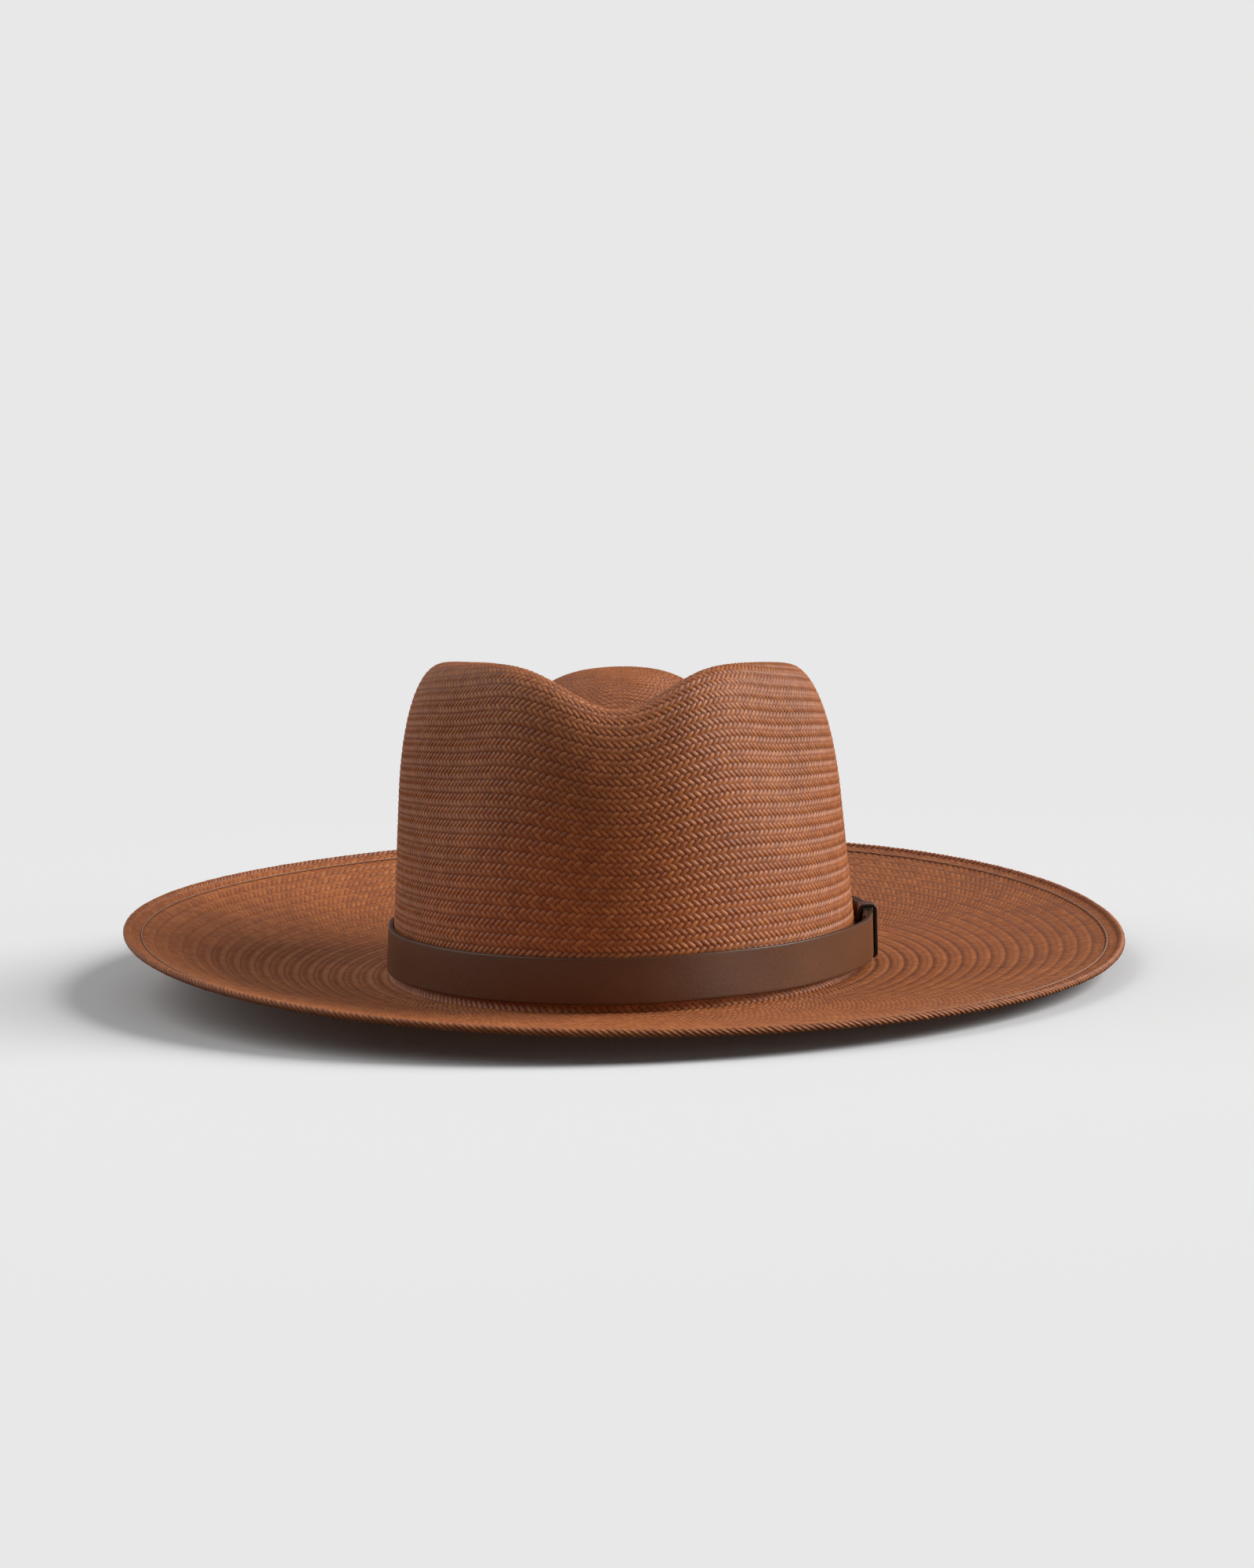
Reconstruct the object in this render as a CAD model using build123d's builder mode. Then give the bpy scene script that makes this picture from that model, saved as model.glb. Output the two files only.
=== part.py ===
from build123d import *
from math import cos, exp, hypot, pi, radians, sin
import os

# Panama hat, millimetres. +Z is up, the front of the hat faces -Y and the wearer's left is +X.
# The origin is on the surface that the hat rests on, on the axis of the head opening.
os.makedirs("parts", exist_ok=True)

# ---- Driving dimensions ---------------------------------------------------------------------
# Head oval: outside of the straw where the crown meets the brim
head_half_width = 82.7
head_half_length = 101.7
straw = 1.3                  # thickness of the woven straw

# Crown
crown_height = 109.0         # mean height of the ridge round the top, above the brim
ridge_slope = 5.0            # how much higher the ridge is in front, and lower behind
ridge_fall = 10.0            # further fall of the ridge behind
ridge_lean = 1.9             # the ridge on the wearer's right is this much higher than the mean
crown_taper = 0.0745         # inward slope of the crown's wall
crown_lean = 0.006           # the wall leans this much more on the wearer's left, less on the right
shoulder_width = 14.5        # rounding between wall and ridge
shoulder_height = 47.5
shoulder_squareness = 2.3    # 2 is an ellipse, more is squarer
notch_depth = 14.5           # dip of the ridge at the front
notch_spread = 16.5          # degrees to each side
pinch_depth = 4.5            # soft hollow on each side of the front
pinch_turn = 42.0            # degrees from the front
pinch_spread = 16.0          # degrees
pinch_drop = 25.0            # below the ridge's mean height
pinch_reach = 28.0           # up and down
groove_drop = 19.0           # lowest line of the dent in the top, below the ridge's mean height
groove_place = 0.76          # share of the way from the centre out to the ridge
dome_drop = 2.8              # raised centre of the top, below the ridge's mean height
dome_fullness = 1.6
button_size = 0.1            # woven start of the crown, as a share of the ridge's oval
button_overlap = 1.2         # its size over that of the hole it closes

# Brim
brim_width = 91.5            # crown wall to the end of the woven brim
brim_break = 2.5             # radius where the crown turns into the brim
brim_land = 9.0              # flat ring on which the hat rests
brim_rise_front = 9.0        # height of the brim's edge over its inner ring
brim_rise_back = 22.0
brim_rise_right = 21.5       # wearer's right, -X
brim_rise_left = 9.5         # wearer's left, +X
brim_twist = 2.2             # behind, the edge is higher to the wearer's left by this much
brim_curve = 1.6             # 1 is a straight cone, more curls up nearer the edge

# Edge finish
braid_reach = 2.2            # how far the braided edge stands out from the woven brim
hem_inset = 4.0              # hem thread to the end of the woven brim
hem_thread_width = 0.5
hem_thread_height = 0.3
hem_thread_lift = 0.085      # clears the brim between the sections that shape it

# Leather band and its keeper
band_height = 15.5
band_leather = 1.7
band_raise = 3.0             # bottom edge above the brim
band_clearance = 0.2         # to the crown on the wearer's right
band_end_clearance = 0.3     # to the crown in front and behind
tail_start = -14.0           # degrees; the strap's end laps over its start at the keeper
tail_end = 24.0
tail_round = 3.0
keeper_leather = 1.2
keeper_width = 9.0
keeper_clearance = 0.4       # leather to band, and leather to crown
keeper_slack = 0.8           # above the band
tack_diameter = 0.8
tack_angles = (60, 120, 180, 240, 300)

# Inside of the head opening
sweat_height = 35.0
sweat_leather = 0.9
sweat_clearance = 0.3
reed_diameter = 1.8
reed_raise = 0.4             # its underside above the surface that the hat rests on
stitch_count = 100
stitch_length = 3.0
stitch_width = 0.5
stitch_thickness = 0.35
stitch_raise = 2.5           # above the leather's lower edge
seam_stitch_count = 7
seam_stitch_length = 5.0
tag_width = 22.0
tag_height = 14.0
tag_thickness = 0.5
tag_corner = 1.0
tag_angle = 125.0            # degrees, behind and to the wearer's right
touch = 0.02                 # gap between pieces that lie on each other

# Where the sections and their points lie; shares run from the start of a stretch to its end
section_step = 10            # degrees between the sections that shape the straw
top_shares = (0.3, 0.5, 0.64, 0.84, 0.92)
shoulder_turns = (90, 72, 54, 36, 18, 0)
wall_shares = (0.67, 0.33, 0)
brim_shares = (0, 0.2, 0.4, 0.6, 0.8, 1)

# ---- Values that follow from them -----------------------------------------------------------
brim_top = straw                           # height of the brim's upper face at the crown
pinch_height = crown_height - pinch_drop            # these three are above the brim
groove_height = crown_height - groove_drop
dome_height = crown_height - dome_drop
band_bottom = brim_top + band_raise
band_top = band_bottom + band_height
keeper_gap = 2 * keeper_clearance + keeper_leather
band_shift = (keeper_gap - band_clearance) / 2      # the band stands off on the keeper's side
band_half_width = head_half_width + (keeper_gap + band_clearance) / 2
band_half_length = head_half_length + band_end_clearance
tail_reach = band_half_width + band_half_length      # well past the outside of the band
reed_height = reed_raise + reed_diameter / 2
sweat_bottom = reed_height + reed_diameter / 2 + touch
sweat_rise = sweat_bottom + sweat_height - brim_top   # top of the sweatband above the brim
pinch_there = pinch_depth * exp(-((sweat_rise - pinch_height) / pinch_reach) ** 2)
sweat_lean = ((crown_taper + crown_lean) * sweat_rise + pinch_there) / sweat_height


# ---- Shape of the straw ---------------------------------------------------------------------
def oval_radius(angle, offset):
    """Distance from the hat's axis to the oval that lies `offset` outside the head oval."""
    half_width = head_half_width + offset
    half_length = head_half_length + offset
    return half_width * half_length / hypot(half_length * cos(angle), half_width * sin(angle))


def turn_from_front(angle):
    """Degrees between this direction and the front of the hat, 0 to 180."""
    return abs((angle * 180 / pi + 270) % 360 - 180)


def ridge_height(angle):
    """Height of the ridge round the crown's top: high in front, low behind, notched in front."""
    turn = turn_from_front(angle)
    level = crown_height + ridge_slope * cos(radians(turn)) - ridge_lean * cos(angle)
    fall = ridge_fall * sin(radians(turn) / 2) ** 6
    notch = notch_depth * exp(-((turn / notch_spread) ** 2))
    return brim_top + level - fall - notch


def pinch(angle, z):
    """Depth of the two soft hollows beside the front."""
    across = (turn_from_front(angle) - pinch_turn) / pinch_spread
    upward = (z - brim_top - pinch_height) / pinch_reach
    return pinch_depth * exp(-(across**2) - upward**2)


def wall_radius(angle, z, shoulder):
    """Distance from the axis to the crown's wall; `shoulder` is the extra inset near the top."""
    slope = crown_taper + crown_lean * cos(angle)
    inset = slope * (z - brim_top) + shoulder + pinch(angle, z)
    return oval_radius(angle, -inset)


def ridge_radius(angle):
    return wall_radius(angle, ridge_height(angle), shoulder_width)


def top_height(angle, share):
    """Height of the dented top: dome in the middle, groove round it, ridge at share = 1."""
    groove = brim_top + groove_height
    if share < groove_place:
        fall = sin(pi / 2 * (share / groove_place) ** dome_fullness) ** 2
        return groove + (dome_height - groove_height) * (1 - fall)
    climb = sin(pi / 2 * (share - groove_place) / (1 - groove_place)) ** 2
    return groove + (ridge_height(angle) - groove) * climb


def crown_points(angle):
    """Outer outline of the crown from the button at the centre to the foot of the wall."""
    points = []
    for share in sorted((button_size, groove_place) + top_shares):
        points.append((share * ridge_radius(angle), top_height(angle, share)))
    ridge = ridge_height(angle)
    power = 2 / shoulder_squareness
    for turn in shoulder_turns:
        z = ridge - shoulder_height * (1 - sin(radians(turn)) ** power)
        shoulder = shoulder_width * (1 - abs(cos(radians(turn))) ** power)
        points.append((wall_radius(angle, z, shoulder), z))
    foot = brim_top + brim_break
    below = ridge - shoulder_height - foot
    for share in wall_shares:
        z = foot + share * below
        points.append((wall_radius(angle, z, 0), z))
    return points


def brim_rise(angle):
    """Height of the brim's edge over its flat inner ring."""
    across = (brim_rise_left + brim_rise_right) / 2
    along = (brim_rise_front + brim_rise_back) / 2
    even = (across + along) / 2 + (across - along) / 2 * cos(2 * angle)
    tilt_across = (brim_rise_left - brim_rise_right) / 2 * cos(angle)
    tilt_along = (brim_rise_back - brim_rise_front) / 2 * sin(angle)
    twist = brim_twist * sin(2 * angle) * (1 + sin(angle)) / 2
    return even + tilt_across + tilt_along + twist


def brim_point(angle, offset):
    """A point of the brim's upper face, `offset` outside the head oval."""
    start = brim_break + brim_land
    share = max(0, offset - start) / (brim_width - start)
    return (oval_radius(angle, offset), brim_top + brim_rise(angle) * share**brim_curve)


def brim_points(angle):
    start = brim_break + brim_land
    return [brim_point(angle, start + share * (brim_width - start)) for share in brim_shares]


def inward(points, depth, first, last):
    """The points moved `depth` to the right of their path, with given directions at its ends."""
    moved = []
    for i, (x, y) in enumerate(points):
        if i == 0:
            dx, dy = first
        elif i == len(points) - 1:
            dx, dy = last
        else:
            dx = points[i + 1][0] - points[i - 1][0]
            dy = points[i + 1][1] - points[i - 1][1]
        length = hypot(dx, dy)
        moved.append((x + depth * dy / length, y - depth * dx / length))
    return moved


def edge_direction(angle):
    """Direction in which the brim's upper face runs where it ends."""
    near = brim_point(angle, brim_width - straw)
    end = brim_point(angle, brim_width)
    return (end[0] - near[0], end[1] - near[1])


def section_plane(angle):
    """Upright plane through the hat's axis: its x runs outward, its y runs up."""
    return Plane(origin=(0, 0, 0), x_dir=(cos(angle), sin(angle), 0),
                 z_dir=(sin(angle), -cos(angle), 0))


def section_angles(start):
    steps = round(180 / section_step)
    return [radians(start + section_step * i) for i in range(steps + 1)]


def corner_arc(centre, radius):
    """Middle point of the arc that turns the wall into the brim."""
    return (centre[0] - radius * cos(pi / 4), centre[1] - radius * sin(pi / 4))


# ---- Straw body: crown and brim, woven in one piece -------------------------------------------
def straw_section(angle):
    """Closed outline of the straw, from the crown's button to the brim's edge and back inside."""
    crown = crown_points(angle)
    brim = brim_points(angle)
    crown_inside = inward(crown, straw, (1, 0), (0, -1))
    brim_inside = inward(brim, straw, (1, 0), edge_direction(angle))
    foot = crown[-1]
    centre = (foot[0] + brim_break, foot[1])
    land_start = (centre[0], brim_top)
    Spline(crown)
    ThreePointArc(foot, corner_arc(centre, brim_break), land_start)
    Line(land_start, brim[0])
    Spline(brim, tangents=[(1, 0), edge_direction(angle)])
    Line(brim[-1], brim_inside[-1])
    Spline(brim_inside[::-1])
    Line(brim_inside[0], (centre[0], 0))
    ThreePointArc((centre[0], 0), corner_arc(centre, brim_break + straw), crown_inside[-1])
    Spline(crown_inside[::-1])
    Line(crown_inside[0], crown[0])


with BuildPart() as straw_body:
    for half_start in (-90, 90):
        for angle in section_angles(half_start):
            with BuildSketch(section_plane(angle)):
                with BuildLine():
                    straw_section(angle)
                make_face()
        loft()
    button_height = brim_top + dome_height
    button_half_width = button_overlap * button_size * ridge_radius(0)
    button_half_length = button_overlap * button_size * ridge_radius(pi / 2)
    with BuildSketch(Plane.XY.offset(button_height - straw)):
        Ellipse(button_half_width, button_half_length)
    extrude(amount=straw)
straw_body.part.label = "straw_body"
export_step(straw_body.part, "parts/straw_body.step")


# ---- Braided finish round the edge of the brim ------------------------------------------------
def braid_section(angle):
    top = brim_point(angle, brim_width)
    dx, dy = edge_direction(angle)
    length = hypot(dx, dy)
    out = (dx / length, dy / length)
    top = (top[0] + 2 * touch * out[0], top[1] + 2 * touch * out[1])
    bottom = (top[0] + straw * out[1], top[1] - straw * out[0])
    tip = ((top[0] + bottom[0]) / 2 + braid_reach * out[0],
           (top[1] + bottom[1]) / 2 + braid_reach * out[1])
    ThreePointArc(top, tip, bottom)
    Line(bottom, top)


with BuildPart() as brim_edge_braid:
    for half_start in (-90, 90):
        for angle in section_angles(half_start):
            with BuildSketch(section_plane(angle)):
                with BuildLine():
                    braid_section(angle)
                make_face()
        loft()
brim_edge_braid.part.label = "brim_edge_braid"
export_step(brim_edge_braid.part, "parts/brim_edge_braid.step")


# ---- Thread that holds the hem, on top of the brim --------------------------------------------
def hem_section(angle):
    near = brim_point(angle, brim_width - hem_inset - hem_thread_width / 2)
    far = brim_point(angle, brim_width - hem_inset + hem_thread_width / 2)
    low = hem_thread_lift
    high = hem_thread_lift + hem_thread_height
    Polyline((near[0], near[1] + low), (far[0], far[1] + low),
             (far[0], far[1] + high), (near[0], near[1] + high), close=True)


with BuildPart() as hem_thread:
    for half_start in (-90, 90):
        for angle in section_angles(half_start):
            with BuildSketch(section_plane(angle)):
                with BuildLine():
                    hem_section(angle)
                make_face()
        loft()
hem_thread.part.label = "hem_thread"
export_step(hem_thread.part, "parts/hem_thread.step")


# ---- Leather band: one strap, its end lapped over its start ------------------------------------
def wedge(start, end, reach):
    """Corners of a flat wedge between two directions, given in degrees, that covers the reach."""
    first = (reach * cos(radians(start)), reach * sin(radians(start)))
    last = (reach * cos(radians(end)), reach * sin(radians(end)))
    middle = radians(start + end) / 2
    tip = reach / cos(radians(end - start) / 2)
    return [(0, 0), first, (tip * cos(middle), tip * sin(middle)), last]


with BuildPart() as hat_band:
    with BuildSketch(Plane.XY.offset(band_bottom)):
        with Locations((band_shift, 0)):
            Ellipse(band_half_width + band_leather, band_half_length + band_leather)
            Ellipse(band_half_width, band_half_length, mode=Mode.SUBTRACT)
    extrude(amount=band_height)
    with BuildSketch(Plane.XY.offset(band_bottom)) as tail:
        with Locations((band_shift, 0)):
            Ellipse(band_half_width + 2 * band_leather, band_half_length + 2 * band_leather)
            Ellipse(band_half_width + band_leather, band_half_length + band_leather,
                    mode=Mode.SUBTRACT)
        with BuildLine():
            Polyline(*wedge(tail_start, tail_end, tail_reach), close=True)
        make_face(mode=Mode.INTERSECT)
    extrude(amount=band_height)
    short_edges = hat_band.edges().filter_by(lambda edge: edge.length < band_height / 2)
    fillet(short_edges.sort_by(Axis.Y)[-2:], tail_round)
hat_band.part.label = "hat_band"
export_step(hat_band.part, "parts/hat_band.step")

# ---- Keeper: leather loop that slides along the band, and holds its end ------------------------
keeper_inside = band_shift + band_half_width - keeper_clearance
keeper_outside = band_shift + band_half_width + 2 * band_leather + keeper_clearance
window_bottom = band_bottom - keeper_clearance
window_top = band_top + keeper_slack
keeper_middle = (keeper_inside + keeper_outside) / 2
window_middle = (window_bottom + window_top) / 2

with BuildPart() as band_keeper:
    with BuildSketch(Plane.XZ):
        with Locations((keeper_middle, window_middle)):
            RectangleRounded(keeper_outside - keeper_inside + 2 * keeper_leather,
                             window_top - window_bottom + 2 * keeper_leather, keeper_leather)
            Rectangle(keeper_outside - keeper_inside, window_top - window_bottom,
                      mode=Mode.SUBTRACT)
    extrude(amount=keeper_width / 2, both=True)
band_keeper.part.label = "band_keeper"
export_step(band_keeper.part, "parts/band_keeper.step")


# ---- Tack stitches that hold the band to the crown, hidden behind it ---------------------------
def band_radius(angle):
    """Distance from the axis to the inside of the band, which stands off to one side."""
    x = oval_radius(angle, 0) * cos(angle) - band_shift
    y = oval_radius(angle, 0) * sin(angle)
    grow = 1 / hypot(x / band_half_width, y / band_half_length)
    return hypot(x * grow + band_shift, y * grow)


with BuildPart() as band_tacks:
    tack_height = (band_bottom + band_top) / 2
    for tack_angle in tack_angles:
        angle = radians(tack_angle)
        inner = wall_radius(angle, tack_height - tack_diameter / 2, 0) + touch
        outer = band_radius(angle) - 2 * touch
        tack_plane = Plane(origin=(inner * cos(angle), inner * sin(angle), tack_height),
                           z_dir=(cos(angle), sin(angle), 0))
        with BuildSketch(tack_plane):
            Circle(tack_diameter / 2)
        extrude(amount=outer - inner)
band_tacks.part.label = "band_tacks"
export_step(band_tacks.part, "parts/band_tacks.step")

# ---- Sweatband: leather strip inside the head opening, on a reed -------------------------------
reed_offset = -straw - sweat_clearance - sweat_leather / 2


def sweat_offset(height):
    """Offset of the leather's outer face, `height` above its lower edge."""
    return -straw - sweat_clearance - sweat_lean * height


def inside_oval(height, depth):
    offset = sweat_offset(height) - depth
    return Ellipse(head_half_width + offset, head_half_length + offset)


with BuildPart() as sweatband:
    for height in (0, sweat_height):
        with BuildSketch(Plane.XY.offset(sweat_bottom + height)):
            inside_oval(height, 0)
    loft()
    for height in (0, sweat_height):
        with BuildSketch(Plane.XY.offset(sweat_bottom + height)):
            inside_oval(height, sweat_leather)
    loft(mode=Mode.SUBTRACT)
sweatband.part.label = "sweatband"
export_step(sweatband.part, "parts/sweatband.step")

with BuildPart() as sweatband_reed:
    with BuildLine(Plane.XY.offset(reed_height)) as reed_path:
        EllipticalCenterArc((0, 0), head_half_width + reed_offset, head_half_length + reed_offset,
                            start_angle=0, arc_size=360)
    with BuildSketch(Plane(reed_path.line @ 0, z_dir=reed_path.line % 0)):
        Circle(reed_diameter / 2)
    sweep()
sweatband_reed.part.label = "sweatband_reed"
export_step(sweatband_reed.part, "parts/sweatband_reed.step")


# ---- Stitches and tag on the inner face of the sweatband ---------------------------------------
def sweat_face_plane(angle, height, length):
    """Plane on the leather's inner face, clear of it over `length`: y up, z towards the head."""
    tightest_radius = head_half_width**2 / head_half_length
    offset = sweat_offset(height) - sweat_leather - touch - length**2 / (8 * tightest_radius)
    half_width = head_half_width + offset
    half_length = head_half_length + offset
    place = (half_width * cos(angle), half_length * sin(angle), sweat_bottom + height)
    along = (-half_width * sin(angle), half_length * cos(angle))
    size = hypot(*along)
    out = (along[1] / size, -along[0] / size)
    return Plane(origin=place, x_dir=(-along[0] / size, -along[1] / size, 0),
                 z_dir=(-out[0], -out[1], -sweat_lean))


with BuildPart() as sweatband_stitches:
    for i in range(stitch_count):
        angle = 2 * pi * (i + 0.5) / stitch_count
        with BuildSketch(sweat_face_plane(angle, stitch_raise, stitch_length)):
            SlotOverall(stitch_length, stitch_width)
        extrude(amount=stitch_thickness)
sweatband_stitches.part.label = "sweatband_stitches"
export_step(sweatband_stitches.part, "parts/sweatband_stitches.step")

with BuildPart() as sweatband_seam_stitches:
    for i in range(seam_stitch_count):
        height = stitch_raise + (i + 1) * (sweat_height - stitch_raise) / (seam_stitch_count + 1)
        with BuildSketch(sweat_face_plane(pi / 2, height, seam_stitch_length)):
            SlotOverall(seam_stitch_length, stitch_width)
        extrude(amount=stitch_thickness)
sweatband_seam_stitches.part.label = "sweatband_seam_stitches"
export_step(sweatband_seam_stitches.part, "parts/sweatband_seam_stitches.step")

with BuildPart() as size_tag:
    with BuildSketch(sweat_face_plane(radians(tag_angle), sweat_height / 2, tag_width)):
        RectangleRounded(tag_width, tag_height, tag_corner)
    extrude(amount=tag_thickness)
size_tag.part.label = "size_tag"
export_step(size_tag.part, "parts/size_tag.step")
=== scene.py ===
from math import cos, e, pi, radians, sin

import bpy
import numpy as np
from mathutils import Matrix, Vector


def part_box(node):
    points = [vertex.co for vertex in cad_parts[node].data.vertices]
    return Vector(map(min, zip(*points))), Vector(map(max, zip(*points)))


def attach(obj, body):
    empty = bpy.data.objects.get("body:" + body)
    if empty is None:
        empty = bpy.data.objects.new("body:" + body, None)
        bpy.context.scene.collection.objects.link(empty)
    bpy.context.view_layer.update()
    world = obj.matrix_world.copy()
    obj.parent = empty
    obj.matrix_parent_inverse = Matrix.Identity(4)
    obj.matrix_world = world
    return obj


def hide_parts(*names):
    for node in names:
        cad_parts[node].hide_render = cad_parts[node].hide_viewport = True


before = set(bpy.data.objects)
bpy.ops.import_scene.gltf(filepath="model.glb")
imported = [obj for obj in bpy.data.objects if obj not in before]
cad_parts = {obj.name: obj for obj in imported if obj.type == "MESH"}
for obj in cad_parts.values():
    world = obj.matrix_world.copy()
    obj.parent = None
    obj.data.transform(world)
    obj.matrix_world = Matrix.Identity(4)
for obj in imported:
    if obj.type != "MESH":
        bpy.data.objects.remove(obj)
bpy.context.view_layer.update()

# Panama hat, metres. +Z is up, the hat's front faces -Y, and the wearer's left is +X.
MM = 0.001

# ---- Sizes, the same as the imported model's ------------------------------------------------------
STRAW = 1.3 * MM
HEAD_HALF_WIDTH = 82.7 * MM
HEAD_HALF_LENGTH = 101.7 * MM
CROWN_HEIGHT, RIDGE_SLOPE, RIDGE_FALL, RIDGE_LEAN = 109.0 * MM, 5.0 * MM, 10.0 * MM, 1.9 * MM
CROWN_TAPER, CROWN_LEAN = 0.0745, 0.006
SHOULDER_WIDTH, SHOULDER_HEIGHT, SHOULDER_SQUARENESS = 14.5 * MM, 47.5 * MM, 2.3
NOTCH_DEPTH, NOTCH_SPREAD = 14.5 * MM, 16.5
PINCH_DEPTH, PINCH_TURN, PINCH_SPREAD = 4.5 * MM, 42.0, 16.0
PINCH_HEIGHT, PINCH_REACH = 84.0 * MM, 28.0 * MM
GROOVE_HEIGHT, GROOVE_PLACE = 90.0 * MM, 0.76
DOME_HEIGHT, DOME_FULLNESS = 106.2 * MM, 1.6
BRIM_WIDTH, BRIM_BREAK, BRIM_LAND = 91.5 * MM, 2.5 * MM, 9.0 * MM
RISE_FRONT, RISE_BACK, RISE_RIGHT, RISE_LEFT = 9.0 * MM, 22.0 * MM, 21.5 * MM, 9.5 * MM
BRIM_TWIST, BRIM_CURVE = 2.2 * MM, 1.6
HEM_INSET = 4.0 * MM

BAND_LOW, BAND_HIGH = (corner.z for corner in map(Vector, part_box("hat_band")))
BAND_LEATHER = 1.7 * MM
BAND_SHIFT = 0.9 * MM
BAND_HALF_WIDTH, BAND_HALF_LENGTH = 83.8 * MM, 102.0 * MM


# ---- Shape of the straw ----------------------------------------------------------------------
def oval_radius(angle, offset):
    """Distance from the hat's axis to the oval that lies `offset` outside the head oval."""
    a = HEAD_HALF_WIDTH + offset
    b = HEAD_HALF_LENGTH + offset
    return a * b / np.hypot(b * np.cos(angle), a * np.sin(angle))


def turn_from_front(angle):
    return np.abs((np.degrees(angle) + 270) % 360 - 180)


def ridge_height(angle):
    turn = turn_from_front(angle)
    level = CROWN_HEIGHT + RIDGE_SLOPE * np.cos(np.radians(turn)) - RIDGE_LEAN * np.cos(angle)
    fall = RIDGE_FALL * np.sin(np.radians(turn) / 2) ** 6
    return STRAW + level - fall - NOTCH_DEPTH * np.exp(-((turn / NOTCH_SPREAD) ** 2))


def pinch(angle, z):
    across = (turn_from_front(angle) - PINCH_TURN) / PINCH_SPREAD
    upward = (z - STRAW - PINCH_HEIGHT) / PINCH_REACH
    return PINCH_DEPTH * np.exp(-(across**2) - upward**2)


def wall_radius(angle, z, shoulder):
    slope = CROWN_TAPER + CROWN_LEAN * np.cos(angle)
    return oval_radius(angle, -(slope * (z - STRAW) + shoulder + pinch(angle, z)))


def top_height(angle, share):
    """Height of the dented top: dome in the middle, groove round it, ridge at share = 1."""
    groove = STRAW + GROOVE_HEIGHT
    inner = np.clip(share / GROOVE_PLACE, 0, 1)
    outer = np.clip((share - GROOVE_PLACE) / (1 - GROOVE_PLACE), 0, 1)
    dome = (DOME_HEIGHT - GROOVE_HEIGHT) * (1 - np.sin(pi / 2 * inner**DOME_FULLNESS) ** 2)
    return groove + dome + (ridge_height(angle) - groove) * np.sin(pi / 2 * outer) ** 2


def brim_rise(angle):
    across, along = (RISE_LEFT + RISE_RIGHT) / 2, (RISE_FRONT + RISE_BACK) / 2
    even = (across + along) / 2 + (across - along) / 2 * np.cos(2 * angle)
    tilt = (RISE_LEFT - RISE_RIGHT) / 2 * np.cos(angle)
    twist = BRIM_TWIST * np.sin(2 * angle) * (1 + np.sin(angle)) / 2
    return even + tilt + (RISE_BACK - RISE_FRONT) / 2 * np.sin(angle) + twist


def brim_height(angle, offset):
    start = BRIM_BREAK + BRIM_LAND
    share = np.clip((offset - start) / (BRIM_WIDTH - start), 0, None)
    return STRAW + brim_rise(angle) * share**BRIM_CURVE


WALL_POINTS, SHOULDER_POINTS, TOP_POINTS = 60, 90, 120


def crown_profile(angle, foot_height):
    """Outline of the crown from `foot_height` up over the ridge to the centre, densely."""
    ridge = ridge_height(angle)[:, None]
    angle = angle[:, None]
    power = 2 / SHOULDER_SQUARENESS
    low = ridge - SHOULDER_HEIGHT
    climb = np.linspace(0, 1, WALL_POINTS)[None, :-1]
    wall_z = foot_height + (low - foot_height) * climb
    wall_r = wall_radius(angle, wall_z, 0)
    slope = np.linspace(0, pi / 2, SHOULDER_POINTS)[None, :]
    bend_z = ridge - SHOULDER_HEIGHT * (1 - np.sin(slope) ** power)
    bend_r = wall_radius(angle, bend_z, SHOULDER_WIDTH * (1 - np.abs(np.cos(slope)) ** power))
    share = np.linspace(1, 0, TOP_POINTS)[None, 1:]
    top_r = share * bend_r[:, -1:]
    top_z = top_height(angle, share) + 0 * top_r
    return np.hstack([wall_r, bend_r, top_r]), np.hstack([wall_z, bend_z, top_z])


def resample(radius, height, rows):
    """Points spread evenly along each column's outline; also the mean distance along it."""
    step = np.hypot(np.diff(radius, axis=1), np.diff(height, axis=1))
    along = np.hstack([np.zeros((len(radius), 1)), np.cumsum(step, axis=1)])
    wanted = np.linspace(0, 1, rows)
    out_r = np.empty((len(radius), rows))
    out_z = np.empty_like(out_r)
    for i in range(len(radius)):
        share = along[i] / along[i, -1]
        out_r[i] = np.interp(wanted, share, radius[i])
        out_z[i] = np.interp(wanted, share, height[i])
    return out_r, out_z, wanted * along[:, -1].mean()


def to_points(angle, radius, height):
    """Grid of points: columns round the hat, rows along the outline."""
    return np.stack([radius * np.cos(angle)[:, None], radius * np.sin(angle)[:, None], height], 2)


def grid_normals(points):
    """Unit normals of a grid that closes on itself round the hat."""
    around = np.roll(points, -1, 0) - np.roll(points, 1, 0)
    along = np.gradient(points, axis=1)
    normal = np.cross(around, along)
    size = np.linalg.norm(normal, axis=2, keepdims=True)
    return normal / np.maximum(size, 1e-12)


# ---- The weave -------------------------------------------------------------------------------
def noise_of(*ids):
    """A repeatable number from 0 to 1 for each set of whole numbers."""
    total = sum(np.asarray(i) * k for i, k in zip(ids, (127.1, 311.7, 74.7, 19.3)))
    return np.abs(np.sin(total) * 43758.5453) % 1


STRAND_RISE, STRAND_SNAP = 0.55, 1.6      # how far and how sharply a strand climbs over the next
STRAND_EDGE, STRAND_ROUND = 0.75, 2.6     # how far and how sharply it falls to its own edges
GAP_PLACE, GAP_NARROW = 0.125, 138.0      # the open line in each pair of rows


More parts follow.
